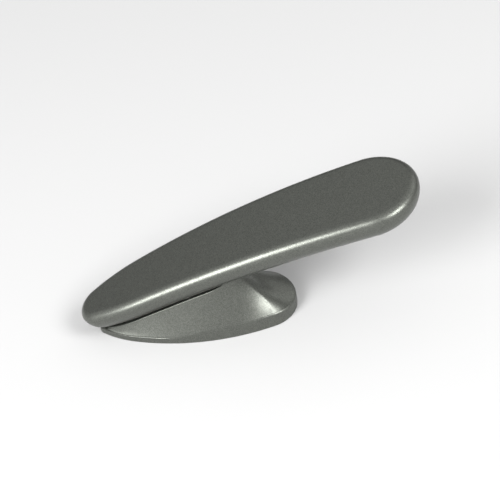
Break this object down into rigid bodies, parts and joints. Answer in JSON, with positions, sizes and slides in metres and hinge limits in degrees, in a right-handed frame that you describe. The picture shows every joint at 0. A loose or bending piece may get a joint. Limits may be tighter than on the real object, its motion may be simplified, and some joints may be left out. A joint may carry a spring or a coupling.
{
  "type": "surface-mounted window fastener handle",
  "caption": "Arched teardrop lever on a sloping hollow base; turning it swings a steel tongue out of a side slot and draws a window sash shut.",
  "frame": {"origin": "on the mounting face, midway between the two fixing holes", "axes": "+X along the base from its thin end towards the grip, +Y towards the window frame, where the tongue comes out, +Z away from the sash"},
  "size_m": [0.1045, 0.0298, 0.0416],
  "materials": {
    "die_cast": "satin graphite metallic",
    "steel": "zinc plated",
    "nylon": "moulded",
    "acetal": "moulded",
    "rubber": "matte"
  },
  "bodies": {
    "base": {"base_housing": "die_cast", "back_plate": "steel", "plate_screws": "steel", "base_gasket": "rubber", "pivot_bush": "acetal", "thrust_washer": "acetal"},
    "lever": {"lever_arm": "die_cast", "pivot_spindle": "steel", "disc_spring": "steel", "tongue": "steel", "tongue_cap": "nylon", "plain_washer": "steel", "spindle_screw": "steel"}
  },
  "joints": [
    {"name": "lever_turn", "type": "hinge", "parent": "base", "child": "lever", "pos_m": [-0.0027, 0, 0.0141], "axis": [0.3584, 0, -0.9336], "range_deg": [0, 90]}
  ]
}
